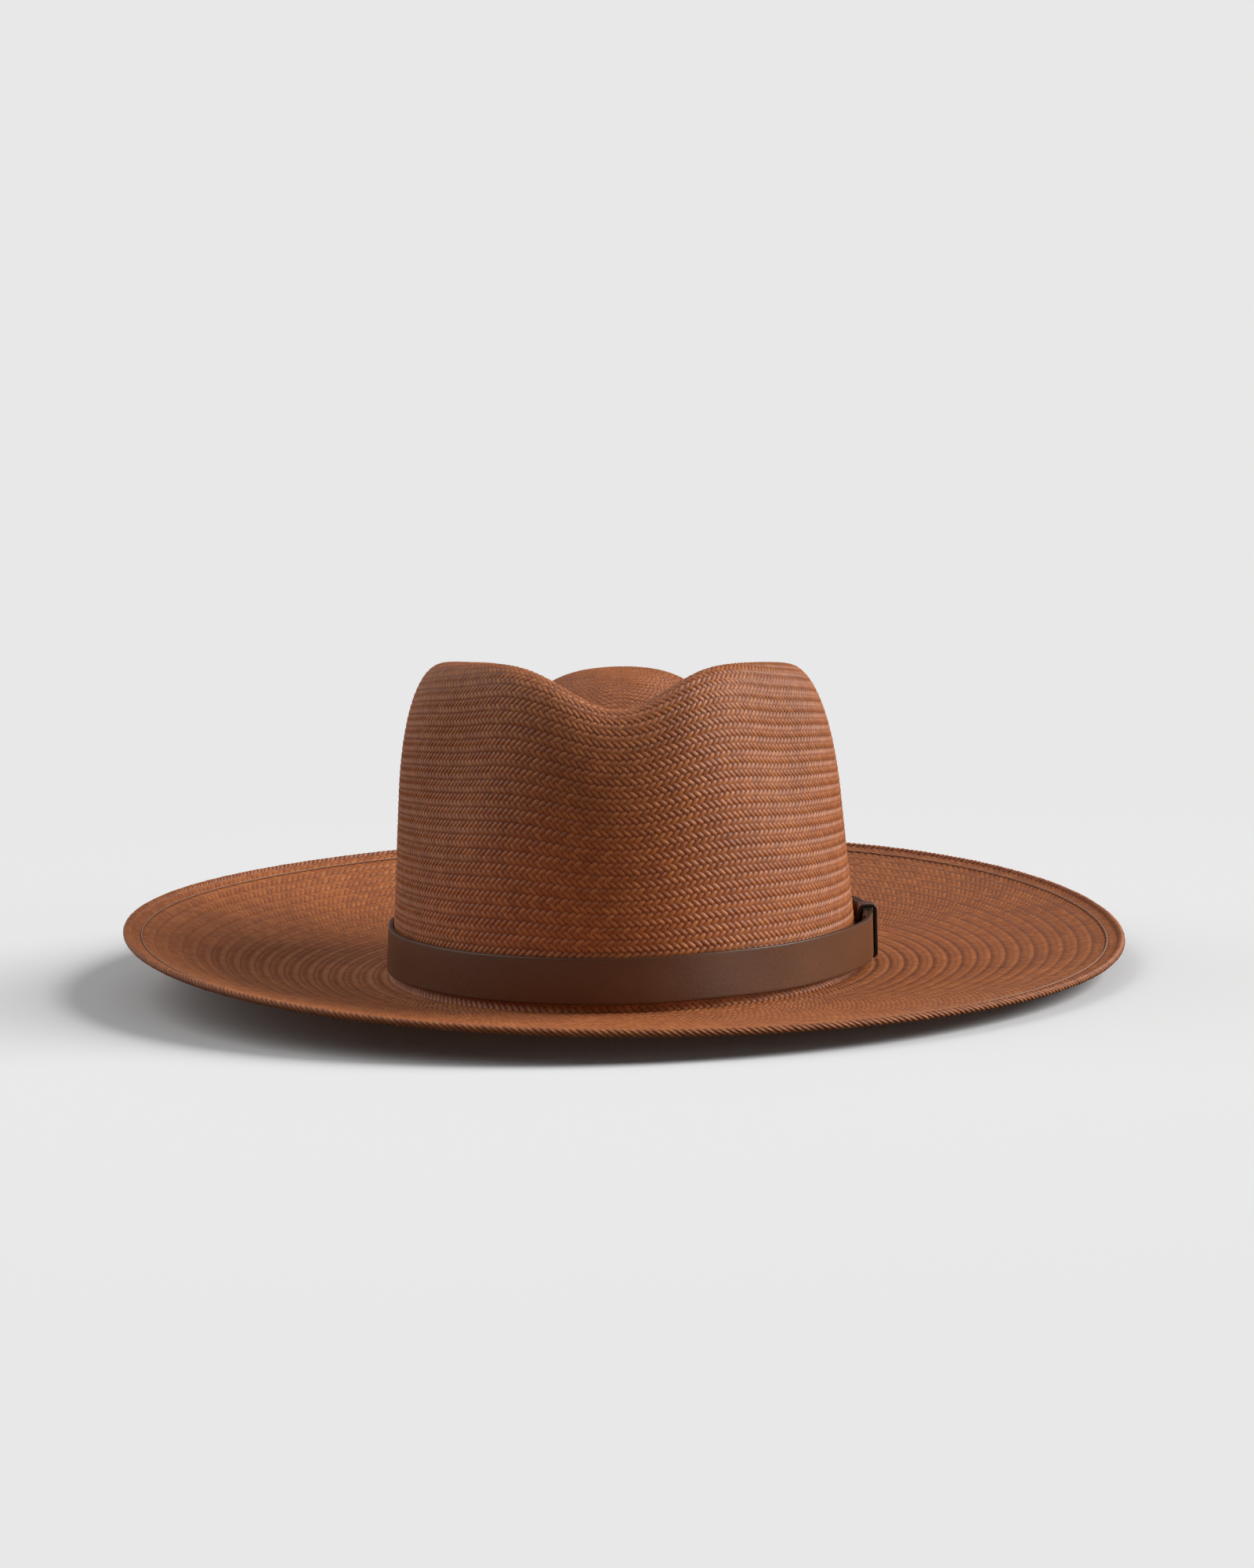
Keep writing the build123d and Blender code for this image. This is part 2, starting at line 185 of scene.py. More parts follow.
def weave(turns, rows, relief):
    """Two-over-two diagonal weave. `turns` counts strands round the hat and `rows` counts pairs of
    rows along it."""
    p, q = 2 * rows + turns, 2 * rows - turns
    i, j = np.floor(p), np.floor(q)
    across_a, across_b = 2 * (p - i) - 1, 2 * (q - j) - 1
    wave_a = np.cos(pi / 2 * (q + i - 1))
    wave_b = np.cos(pi / 2 * (p + j - 3))
    a = STRAND_RISE * np.tanh(STRAND_SNAP * wave_a) - STRAND_EDGE * np.abs(across_a) ** STRAND_ROUND
    b = STRAND_RISE * np.tanh(STRAND_SNAP * wave_b) - STRAND_EDGE * np.abs(across_b) ** STRAND_ROUND
    a += 0.12 * (noise_of(i, np.floor((q + i) / 4)) - 0.5)
    b += 0.12 * (noise_of(j, np.floor((p + j - 2) / 4), 3) - 0.5)
    line = (rows - GAP_PLACE + 0.5) % 1 - 0.5
    gap = np.exp(-GAP_NARROW * line**2)
    height = np.maximum(a, b) - 0.45 * gap * (0.5 - 0.4 * np.maximum(wave_a, wave_b))
    return height * relief


# ---- Mesh building ---------------------------------------------------------------------------
STRAND_MIDDLE = (0.0, 0.25)   # a place on the weave where a strand lies on top


class Builder:
    """Collects vertices and faces of one piece, with the flat coordinates of every corner."""

    def __init__(self):
        self.vertices, self.faces, self.flat, self.woven, self.count = [], [], [], [], 0

    def add_vertices(self, points):
        points = np.asarray(points, float).reshape(-1, 3)
        start = self.count
        self.vertices.append(points)
        self.count += len(points)
        return start

    def add_faces(self, faces, flat, woven=None):
        self.faces.append(np.asarray(faces))
        self.flat.append(np.asarray(flat, float))
        plain = np.zeros_like(self.flat[-1]) + STRAND_MIDDLE
        self.woven.append(plain if woven is None else woven)

    def add_grid(self, points, area, wrap=(True, False), flip=False, count=None):
        """A grid of points as quads; `area` is its part of the flat layout, (u0, v0, u1, v1).
        `count` gives a woven grid's row numbers and its strands round the hat."""
        columns, rows = points.shape[:2]
        start = self.add_vertices(points)
        c, r = np.meshgrid(np.arange(columns if wrap[0] else columns - 1),
                           np.arange(rows if wrap[1] else rows - 1), indexing="ij")
        c, r = c.ravel(), r.ravel()
        corners = [(c, r), (c + 1, r), (c + 1, r + 1), (c, r + 1)]
        if flip:
            corners.reverse()
        faces = np.stack([(a % columns) * rows + b % rows + start for a, b in corners], 1)
        across = columns if wrap[0] else columns - 1
        down = rows if wrap[1] else rows - 1
        u0, v0, u1, v1 = area
        flat = np.stack([np.stack([u0 + (u1 - u0) * a / across, v0 + (v1 - v0) * b / down], 1)
                         for a, b in corners], 1)
        woven = None
        if count is not None:
            woven = np.stack([np.stack([count[1][r] * a / across, count[0][b]], 1)
                              for a, b in corners], 1)
        self.add_faces(faces, flat, woven)
        return np.arange(columns * rows).reshape(columns, rows) + start

    def add_ring(self, first, second, level):
        """Quads between two closed rings of vertices."""
        n = len(first)
        faces = np.stack([first, second, np.roll(second, -1), np.roll(first, -1)], 1)
        u = np.arange(n) / n
        flat = np.stack([np.stack([u, u, u + 1 / n, u + 1 / n], 1),
                         level + np.tile([0, 0.004, 0.004, 0], (n, 1))], 2)
        self.add_faces(faces, flat)

    def add_cap(self, ring, flip=False, centre=(0.5, 0.97), size=0.02):
        """Triangles from a closed ring of vertices to its middle."""
        points = np.concatenate(self.vertices)[ring]
        middle = self.add_vertices(points.mean(0))
        n = len(ring)
        nxt = np.roll(ring, -1)
        faces = np.stack([ring, nxt, np.full(n, middle)], 1)
        turn = 2 * pi * np.arange(n) / n
        rim = np.stack([np.cos(turn), np.sin(turn)], 1) * size + centre
        flat = np.stack([rim, np.roll(rim, -1, 0), np.tile(centre, (n, 1))], 1)
        if flip:
            faces, flat = faces[:, ::-1], flat[:, ::-1]
        self.add_faces(faces, flat)

    def build(self, name, material, body, replaces=()):
        mesh = bpy.data.meshes.new(name)
        vertices = np.concatenate(self.vertices).astype(np.float32)
        loops = np.concatenate([f.ravel() for f in self.faces]).astype(np.int32)
        sizes = np.concatenate([np.full(len(f), f.shape[1]) for f in self.faces]).astype(np.int32)
        starts = np.concatenate([[0], np.cumsum(sizes)[:-1]]).astype(np.int32)
        mesh.vertices.add(len(vertices))
        mesh.vertices.foreach_set("co", vertices.ravel())
        mesh.loops.add(len(loops))
        mesh.loops.foreach_set("vertex_index", loops)
        mesh.polygons.add(len(sizes))
        mesh.polygons.foreach_set("loop_start", starts)
        mesh.update(calc_edges=True)
        mesh.polygons.foreach_set("use_smooth", np.ones(len(sizes), bool))
        for layer_name, parts in (("OFBake", self.flat), ("weave", self.woven)):
            layer = mesh.uv_layers.new(name=layer_name)
            flat = np.concatenate([f.reshape(-1, 2) for f in parts])
            layer.data.foreach_set("uv", flat.astype(np.float32).ravel())
        mesh.materials.append(material)
        obj = bpy.data.objects.new(name, mesh)
        bpy.context.scene.collection.objects.link(obj)
        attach(obj, body)
        if replaces:
            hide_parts(*replaces)
        return obj


def add_attribute(obj, name, values):
    layer = obj.data.attributes.new(name, "FLOAT", "POINT")
    data = np.zeros(len(obj.data.vertices), np.float32)
    data[:len(values)] = values
    layer.data.foreach_set("value", data)


# ---- Materials -------------------------------------------------------------------------------
class Nodes:
    """Short names for building a node material."""

    def __init__(self, name):
        self.material = bpy.data.materials.new(name)
        self.material.use_nodes = True
        self.tree = self.material.node_tree
        self.shader = self.tree.nodes["Principled BSDF"]

    def node(self, kind, **values):
        made = self.tree.nodes.new(kind)
        for key, value in values.items():
            setattr(made, key, value)
        return made

    def link(self, source, target):
        self.tree.links.new(source, target)

    def attribute(self, name):
        return self.node("ShaderNodeAttribute", attribute_name=name).outputs["Fac"]

    def coordinates(self, scale=(1, 1, 1)):
        source = self.node("ShaderNodeTexCoord").outputs["Object"]
        mapping = self.node("ShaderNodeMapping")
        mapping.inputs["Scale"].default_value = scale
        self.link(source, mapping.inputs["Vector"])
        return mapping.outputs["Vector"]

    def noise(self, vector, scale, detail=3.0, roughness=0.5):
        made = self.node("ShaderNodeTexNoise")
        made.inputs["Scale"].default_value = scale
        made.inputs["Detail"].default_value = detail
        made.inputs["Roughness"].default_value = roughness
        self.link(vector, made.inputs["Vector"])
        return made.outputs["Fac"]

    def ramp(self, factor, *stops):
        made = self.node("ShaderNodeValToRGB")
        elements = made.color_ramp.elements
        while len(elements) < len(stops):
            elements.new(0.5)
        for element, (place, colour) in zip(elements, stops):
            element.position = place
            element.color = (*colour, 1) if len(colour) == 3 else colour
        self.link(factor, made.inputs["Fac"])
        return made.outputs["Color"]

    def mix(self, mode, factor, first, second):
        made = self.node("ShaderNodeMix", data_type="RGBA", blend_type=mode)
        for socket, value in zip((made.inputs[0], made.inputs[6], made.inputs[7]),
                                 (factor, first, second)):
            if isinstance(value, (int, float, tuple)):
                socket.default_value = value
            else:
                self.link(value, socket)
        return made.outputs[2]

    def maths(self, operation, first, second=0.0, third=0.0):
        made = self.node("ShaderNodeMath", operation=operation)
        for socket, value in zip(made.inputs, (first, second, third)):
            if isinstance(value, (int, float)):
                socket.default_value = value
            else:
                self.link(value, socket)
        return made.outputs[0]

    def bump(self, height, strength, distance):
        made = self.node("ShaderNodeBump")
        made.inputs["Strength"].default_value = strength
        made.inputs["Distance"].default_value = distance
        self.link(height, made.inputs["Height"])
        self.link(made.outputs["Normal"], self.shader.inputs["Normal"])


def weave_nodes(n):
    """The weave again, worked out at every point: height, shade and fibres of the strand on top."""
    source = n.node("ShaderNodeUVMap", uv_map="weave")
    split = n.node("ShaderNodeSeparateXYZ")
    n.link(source.outputs[0], split.inputs[0])
    turns, rows = split.outputs[0], split.outputs[1]
    p = n.maths("MULTIPLY_ADD", rows, 2.0, turns)
    q = n.maths("SUBTRACT", n.maths("MULTIPLY", rows, 2.0), turns)

    def strand(place, other, shift, key):
        number = n.maths("FLOOR", place)
        across = n.maths("MULTIPLY_ADD", n.maths("SUBTRACT", place, number), 2.0, -1.0)
        phase = n.maths("ADD", other, number)
        wave = n.maths("COSINE", n.maths("MULTIPLY_ADD", phase, pi / 2, -pi / 2 * shift))
        rise = n.maths("TANH", n.maths("MULTIPLY", wave, STRAND_SNAP))
        fall = n.maths("POWER", n.maths("ABSOLUTE", across), STRAND_ROUND)
        height = n.maths("MULTIPLY_ADD", fall, -STRAND_EDGE, n.maths("MULTIPLY", rise, STRAND_RISE))
        piece = n.maths("FLOOR", n.maths("MULTIPLY_ADD", phase, 0.25, -0.25 * (shift - 1)))
        joined = n.node("ShaderNodeCombineXYZ")
        for socket, value in zip(joined.inputs, (number, piece)):
            n.link(value, socket)
        joined.inputs[2].default_value = key
        shade = n.node("ShaderNodeTexWhiteNoise", noise_dimensions="3D")
        n.link(joined.outputs[0], shade.inputs["Vector"])
        return height, shade.outputs["Value"], across, other

    first, second = strand(p, q, 1, 5), strand(q, p, 3, 9)
    on_top = n.maths("GREATER_THAN", first[0], second[0])
    height, shade, across, length = (
        n.maths("MULTIPLY_ADD", on_top, n.maths("SUBTRACT", a, b), b) for a, b in zip(first, second))
    return n.maths("MAXIMUM", first[0], second[0]), shade, across, length, rows


def straw_material(name, lightness=1.0, woven=True):
    """Dyed toquilla straw: each strand its own tone, fibres along it, and painted shade darkening
    the low gaps between strands.
    """
    n = Nodes(name)
    place = n.coordinates()
    if woven:
        height, shade, across, length, rows = weave_nodes(n)
        # The open line in each pair of rows is lowered here, so the painted shade below darkens it
        # too.
        line = n.maths("SUBTRACT", n.maths("FRACT", n.maths("ADD", rows, 0.5 - GAP_PLACE)), 0.5)
        squared = n.maths("MULTIPLY", line, line)
        gap = n.maths("POWER", e, n.maths("MULTIPLY", squared, -GAP_NARROW))
        height = n.maths("MULTIPLY_ADD", gap, -0.22, height)
    else:
        height, shade = n.attribute("height"), n.attribute("shade")
        across, length = n.attribute("grain"), n.attribute("length")
    strand = n.ramp(shade, (0.0, STRAW_DARK), (0.5, STRAW_MID), (1.0, STRAW_LIGHT))
    broad = n.ramp(n.noise(place, 26, 3), (0.35, (0.92, 0.90, 0.88)), (0.65, (1.06, 1.06, 1.06)))
    colour = n.mix("MULTIPLY", 1.0, strand, broad)
    joined = n.node("ShaderNodeCombineXYZ")
    n.link(n.maths("MULTIPLY_ADD", shade, 60.0, n.maths("MULTIPLY", across, 3.5)), joined.inputs[0])
    n.link(n.maths("MULTIPLY", length, 0.45), joined.inputs[1])
    fibre = n.noise(joined.outputs[0], 1.7, 4, 0.6)
    streak = n.ramp(fibre, (0.3, (0.84, 0.80, 0.78)), (0.7, (1.14, 1.14, 1.14)))
    colour = n.mix("MULTIPLY", 1.0, colour, streak)
    # Painted shade: colour darkened where the weave is low, in the gaps and open lines between
    # strands, and a little painted light on the highest strand tops.
    depth = n.ramp(n.maths("MULTIPLY_ADD", height, 0.8, 0.6), (0.10, (0.10, 0.05, 0.03)),
                   (0.36, (0.50, 0.38, 0.32)), (0.56, (0.95, 0.93, 0.92)), (0.9, (1.1, 1.1, 1.1)))
    colour = n.mix("MULTIPLY", 1.0, colour, depth)
    colour = n.mix("MULTIPLY", 1.0, colour, (lightness, lightness, lightness, 1))
    n.link(colour, n.shader.inputs["Base Color"])
    rough = n.node("ShaderNodeMapRange")
    rough.inputs["To Min"].default_value = 0.40
    rough.inputs["To Max"].default_value = 0.58
    n.link(fibre, rough.inputs["Value"])
    n.link(rough.outputs[0], n.shader.inputs["Roughness"])
    n.shader.inputs["Specular IOR Level"].default_value = 0.5
    n.shader.inputs["Sheen Weight"].default_value = 0.05
    n.shader.inputs["Sheen Roughness"].default_value = 0.5
    n.bump(n.maths("MULTIPLY_ADD", fibre, 0.25, height), 0.8, 0.00025)
    return n.material


def leather_material(name, dark, light, rough, grain_scale=900, grain_depth=0.00006, edges=0.0):
    """Smooth leather: soft cloudy colour, fine pores and a satin finish."""
    n = Nodes(name)
    place = n.coordinates()
    cloud = n.noise(place, 35, 4, 0.55)
    colour = n.ramp(cloud, (0.3, dark), (0.7, light))
    pores = n.node("ShaderNodeTexVoronoi")
    pores.inputs["Scale"].default_value = grain_scale
    n.link(place, pores.inputs["Vector"])
    fine = n.noise(place, grain_scale * 1.7, 3, 0.6)
    grain = n.maths("ADD", pores.outputs["Distance"], fine)
    speck = n.ramp(grain, (0.2, (0.90, 0.90, 0.90)), (0.9, (1.05, 1.05, 1.05)))
    colour = n.mix("MULTIPLY", 1.0, colour, speck)
    if edges:
        worn = n.ramp(n.attribute("edge"), (0.0, (1, 1, 1)), (1.0, (edges, edges, edges)))
        colour = n.mix("MULTIPLY", 1.0, colour, worn)
    n.link(colour, n.shader.inputs["Base Color"])
    spread = n.node("ShaderNodeMapRange")
    spread.inputs["To Min"].default_value = rough - 0.06
    spread.inputs["To Max"].default_value = rough + 0.10
    n.link(cloud, spread.inputs["Value"])
    n.link(spread.outputs[0], n.shader.inputs["Roughness"])
    n.shader.inputs["Specular IOR Level"].default_value = 0.45
    n.bump(grain, 0.5, grain_depth)
    return n.material


def thread_material(name, dark, light):
    """Twisted thread: fine diagonal twist and a matte, slightly fuzzy finish."""
    n = Nodes(name)
    place = n.coordinates((1, 1, 1.3))
    twist = n.node("ShaderNodeTexWave", wave_type="BANDS", bands_direction="DIAGONAL")
    twist.inputs["Scale"].default_value = 620
    twist.inputs["Distortion"].default_value = 1.5
    n.link(place, twist.inputs["Vector"])
    colour = n.ramp(twist.outputs["Fac"], (0.1, dark), (0.8, light))
    n.link(colour, n.shader.inputs["Base Color"])
    n.shader.inputs["Roughness"].default_value = 0.8
    n.shader.inputs["Sheen Weight"].default_value = 0.3
    n.bump(twist.outputs["Fac"], 0.5, 0.0001)
    return n.material


def tape_material(name):
    """Plain woven tape."""
    n = Nodes(name)
    place = n.coordinates()
    warp = n.node("ShaderNodeTexWave", wave_type="BANDS", bands_direction="Z")
    warp.inputs["Scale"].default_value = 700
    n.link(place, warp.inputs["Vector"])
    weft = n.node("ShaderNodeTexWave", wave_type="BANDS", bands_direction="X")
    weft.inputs["Scale"].default_value = 700
    n.link(place, weft.inputs["Vector"])
    weave_height = n.maths("MULTIPLY", warp.outputs["Fac"], weft.outputs["Fac"])
    colour = n.ramp(weave_height, (0.0, (0.50, 0.42, 0.30)), (0.8, (0.72, 0.63, 0.48)))
    n.link(colour, n.shader.inputs["Base Color"])
    n.shader.inputs["Roughness"].default_value = 0.85
    n.bump(weave_height, 0.5, 0.0001)
    return n.material


def piping_material(name):
    n = Nodes(name)
    place = n.coordinates()
    cloud = n.noise(place, 60, 4, 0.6)
    n.link(n.ramp(cloud, (0.3, (0.20, 0.085, 0.035)), (0.7, (0.27, 0.12, 0.05))),
           n.shader.inputs["Base Color"])
    n.shader.inputs["Roughness"].default_value = 0.55
    n.bump(n.noise(place, 1400, 2), 0.3, 0.00005)
    return n.material


STRAW_DARK, STRAW_MID = (0.300, 0.080, 0.012), (0.365, 0.103, 0.017)
STRAW_LIGHT = (0.430, 0.134, 0.026)
STRAW_LOOK = straw_material("straw")
BRAID_LOOK = straw_material("straw_braid", 0.95, woven=False)
BAND_LOOK = leather_material("band_leather", (0.098, 0.030, 0.0055), (0.125, 0.040, 0.008), 0.42,
                             edges=0.55)
KEEPER_LOOK = leather_material("keeper_leather", (0.085, 0.028, 0.010), (0.115, 0.040, 0.015),
                               0.38, edges=0.10)
SWEAT_LOOK = leather_material("sweatband_leather", (0.24, 0.105, 0.045), (0.31, 0.145, 0.065), 0.58,
                              grain_scale=520, grain_depth=0.00012, edges=0.7)
THREAD_LOOK = thread_material("thread", (0.20, 0.075, 0.030), (0.42, 0.19, 0.09))
LIGHT_THREAD_LOOK = thread_material("thread_light", (0.42, 0.25, 0.13), (0.62, 0.42, 0.25))
TAPE_LOOK = tape_material("tag_tape")
PIPING_LOOK = piping_material("piping")


# ---- Straw: crown ----------------------------------------------------------------------------
STRANDS = 240                 # strands of each family round the crown
ROW_PAIR = 4.25 * MM          # height of a pair of rows on the crown's wall
RELIEF = 0.42 * MM
JOIN_HEIGHT = (BAND_LOW + BAND_HIGH) / 2    # crown and brim meshes meet behind the band
FINE = 1.0


ROW_PLACES = (0, 0.095, 0.125, 0.150, 0.185)    # distances up the crown's outline ...
ROW_SHARES = (1, 1, 0.75, 0.55, 0.5)            # ... and the height of a pair of rows there
STRAND_HALVINGS = ((0.052, 2), (0.027, 4), (0.013, 8), (0.0065, 16))    # within this radius
CROWN_HOLE = 1.2 * MM         # where the woven rows end and the closing cap begins
SKIN_INSET = 0.12 * MM        # the outer skin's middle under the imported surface
INNER_INSET = 0.1 * MM
INNER_RELIEF = 0.5 * RELIEF   # the weave stands out less on the inside


def angles_of(columns):
    return np.arange(columns) * 2 * pi / columns - pi / 2


def crown_rows(along):
    """Count of row pairs at each distance along the outline; rows get finer towards the centre."""
    pair = ROW_PAIR * np.interp(along, ROW_PLACES, ROW_SHARES)
    step = np.diff(along) / ((pair[1:] + pair[:-1]) / 2)
    return np.concatenate([[0], np.cumsum(step)])


def crown_strands(rows_here, radius):
    """Strands round the hat on each row, halved where they would crowd near the centre."""
    counts = np.full(len(rows_here), float(STRANDS))
    for limit, share in STRAND_HALVINGS:
        inside = np.where(radius < limit)[0]
        if len(inside):
            first = np.ceil(rows_here[inside[0]] - GAP_PLACE) + GAP_PLACE
            counts[rows_here >= first] = STRANDS / share
    return counts


def woven_layer(points, rows_here, strands, relief, direction):
    """Pushes the grid out and in by the weave, and gives the weave's values for colouring."""
    columns = points.shape[0]
    turn = np.arange(columns)[:, None] / columns
    lift = weave(turn * strands[None, :], rows_here[None, :] + 0 * turn, relief)
    normal = grid_normals(points) * direction
    return points + normal * lift[:, :, None], (rows_here, strands)


def crown_layer(columns, rows, depth, relief):
    angle = angles_of(columns)
    radius, height = crown_profile(angle, JOIN_HEIGHT)
    radius, height, along = resample(radius, height, rows)
    keep = radius.mean(0) > CROWN_HOLE
    radius, height, along = radius[:, keep], height[:, keep], along[keep]
    points = to_points(angle, radius, height)
    points = points - grid_normals(points) * depth
    rows_here = crown_rows(along)
    strands = crown_strands(rows_here, radius.mean(0))
    direction = 1 if depth < STRAW / 2 else -1
    return woven_layer(points, rows_here, strands, relief, direction)


def make_crown():
    columns = int(1440 * FINE)
    outer, outer_count = crown_layer(columns, int(400 * FINE), SKIN_INSET, RELIEF)
    inner, inner_count = crown_layer(columns, int(200 * FINE), STRAW - INNER_INSET, INNER_RELIEF)
    b = Builder()
    out = b.add_grid(outer, (0, 0, 1, 0.62), count=outer_count)
    ins = b.add_grid(inner, (0, 0.64, 1, 0.93), flip=True, count=inner_count)
    b.add_ring(out[:, 0], ins[:, 0], 0.632)
    b.add_cap(out[:, -1], centre=(0.3, 0.97))
    b.add_cap(ins[:, -1], flip=True, centre=(0.7, 0.97))
    b.build("crown_weave", STRAW_LOOK, "hat", ("straw_body",))


# ---- Straw: brim -----------------------------------------------------------------------------
BRIM_ROW_PAIR = 5.2 * MM
BRIM_STRANDS = 360
BRIM_RELIEF = 0.8 * RELIEF
MORE_STRANDS_FROM = 104 * MM    # from this radius the brim has more strands than the crown


def brim_profile(angle):
    """Outline from behind the band down the crown's foot, round the break and out to the edge."""
    foot = STRAW + BRIM_BREAK
    angle = angle[:, None]
    wall_z = np.linspace(JOIN_HEIGHT, foot, 12)[None, :-1] + 0 * angle
    wall_r = wall_radius(angle, wall_z, 0)
    foot_r = wall_radius(angle, foot + 0 * angle, 0)
    bend = np.linspace(0, pi / 2, 16)[None, :]
    bend_r = foot_r + BRIM_BREAK * (1 - np.cos(bend))
    bend_z = foot - BRIM_BREAK * np.sin(bend) + 0 * foot_r
    offset = np.linspace(BRIM_BREAK, BRIM_WIDTH, 120)[None, 1:]
    out_r = oval_radius(angle, offset)
    out_z = brim_height(angle, offset) + 0 * out_r
    return np.hstack([wall_r, bend_r, out_r]), np.hstack([wall_z, bend_z, out_z])


def brim_layer(columns, rows, depth, relief):
    angle = angles_of(columns)
    radius, height = brim_profile(angle)
    radius, height, along = resample(radius, height, rows)
    points = to_points(angle, radius, height)
    points = points + grid_normals(points) * depth
    rows_here = along / BRIM_ROW_PAIR
    strands = np.where(radius.mean(0) < MORE_STRANDS_FROM, float(STRANDS), float(BRIM_STRANDS))
    direction = -1 if depth < STRAW / 2 else 1
    return woven_layer(points, rows_here, strands, relief, direction)


def make_brim():
    columns = int(2160 * FINE)
    top, top_count = brim_layer(columns, int(200 * FINE), SKIN_INSET, BRIM_RELIEF)
    under, under_count = brim_layer(columns, int(120 * FINE), STRAW - INNER_INSET, INNER_RELIEF)
    b = Builder()
    upper = b.add_grid(top, (0, 0, 1, 0.55), flip=True, count=top_count)
    lower = b.add_grid(under, (0, 0.6, 1, 0.95), count=under_count)
    b.add_ring(lower[:, 0], upper[:, 0], 0.96)
    b.add_ring(upper[:, -1], lower[:, -1], 0.57)
    b.build("brim_weave", STRAW_LOOK, "hat", ("straw_body",))


# ---- Braided edge and hem thread -------------------------------------------------------------
def edge_frame(angle, inset):
    """Points on the brim's upper face near its edge, with outward and upward directions there."""
    here = np.stack([oval_radius(angle, BRIM_WIDTH - inset) * np.cos(angle),
                     oval_radius(angle, BRIM_WIDTH - inset) * np.sin(angle),
                     brim_height(angle, BRIM_WIDTH - inset)], 1)
    near = np.stack([oval_radius(angle, BRIM_WIDTH - inset - MM) * np.cos(angle),
                     oval_radius(angle, BRIM_WIDTH - inset - MM) * np.sin(angle),
                     brim_height(angle, BRIM_WIDTH - inset - MM)], 1)
    out = here - near
    out /= np.linalg.norm(out, axis=1, keepdims=True)
    around = np.roll(here, -1, 0) - np.roll(here, 1, 0)
    around /= np.linalg.norm(around, axis=1, keepdims=True)
    up = np.cross(out, around)
    return here, out, up / np.linalg.norm(up, axis=1, keepdims=True), around


BRAID_STITCHES = 520
BRAID_HALF_OUT, BRAID_HALF_UP = 1.25 * MM, 1.15 * MM


def make_braid():
    """Edge braid: slanting stitches of straw wrapped round the end of the brim."""
    columns, sides = int(4320 * FINE), 20
    angle = angles_of(columns)
    here, out, up, _ = edge_frame(angle, 0)
    centre = here + out * 0.75 * MM - up * STRAW / 2
    around = np.arange(sides) * 2 * pi / sides
    turn = np.arange(columns)[:, None] / columns
    wrap = turn * BRAID_STITCHES + 0.85 * np.sin(around)[None, :] + 0.15 * np.cos(around)[None, :]
    stitch = np.floor(wrap)
    across = 2 * (wrap - stitch) - 1
    bulge = 1 - np.abs(across) ** 2.6
    lift = 0.82 + 0.34 * bulge + 0.10 * (noise_of(stitch % BRAID_STITCHES, 3) - 0.5)
    half_out, half_up = BRAID_HALF_OUT, BRAID_HALF_UP
    aside = (np.cos(around)[None, :] * lift * half_out)[:, :, None] * out[:, None, :]
    above = (np.sin(around)[None, :] * lift * half_up)[:, :, None] * up[:, None, :]
    points = centre[:, None, :] + aside + above
    b = Builder()
    b.add_grid(points, (0, 0, 1, 1), wrap=(True, True))
    braid = b.build("edge_braid", BRAID_LOOK, "hat", ("brim_edge_braid",))
    add_attribute(braid, "shade", noise_of(stitch % BRAID_STITCHES, 8).ravel())
    # This height also drives the straw material's painted shade, darker between the stitches.
    add_attribute(braid, "height", (1.15 * bulge - 0.70).ravel())
    add_attribute(braid, "grain", (across + 7 * noise_of(stitch % BRAID_STITCHES, 2)).ravel())
    add_attribute(braid, "length", (around[None, :] + 0 * turn).ravel())
    return braid


def make_hem_thread():
    """Running thread sewn through the brim just inside its edge."""
    columns, sides, stitches = int(2880 * FINE), 8, 360
    angle = angles_of(columns)
    here, out, up, _ = edge_frame(angle, HEM_INSET)
    turn = np.arange(columns) / columns
    dip = np.abs(np.sin(pi * turn * stitches)) ** 0.5
    centre = here + up * ((0.05 + 0.22 * dip) * MM)[:, None]
    around = np.arange(sides) * 2 * pi / sides
    points = (centre[:, None, :] + 0.26 * MM * (np.cos(around)[None, :, None] * out[:, None, :]
              + np.sin(around)[None, :, None] * up[:, None, :]))
    b = Builder()
    b.add_grid(points, (0, 0, 1, 1), wrap=(True, True))
    return b.build("hem_stitching", THREAD_LOOK, "hat", ("hem_thread",))


# ---- Leather pieces --------------------------------------------------------------------------
def rounded_section(width, height, radius, steps=5):
    """Closed outline of a rounded rectangle about its middle."""
    points = []
    for corner in range(4):
        sx, sy = ((1, 1), (-1, 1), (-1, -1), (1, -1))[corner]
        for k in range(steps + 1):
            turn = corner * pi / 2 + k / steps * pi / 2
            points.append((sx * (width / 2 - radius) + radius * cos(turn),
                           sy * (height / 2 - radius) + radius * sin(turn)))
    return np.array(points)


def fill_section(outline, longest):
    """The outline with long straight stretches divided."""
    points = []
    for first, second in zip(outline, np.roll(outline, -1, 0)):
        pieces = max(1, int(np.ceil(np.linalg.norm(second - first) / longest)))
        points.extend(first + (second - first) * k / pieces for k in range(pieces))
    return np.array(points)


BAND_START, BAND_END = -9, 384    # degrees; the strap goes once round and on over its start
LAP_START, LAP_TURN = 326, 22     # where it begins to climb over its start, and how far that takes


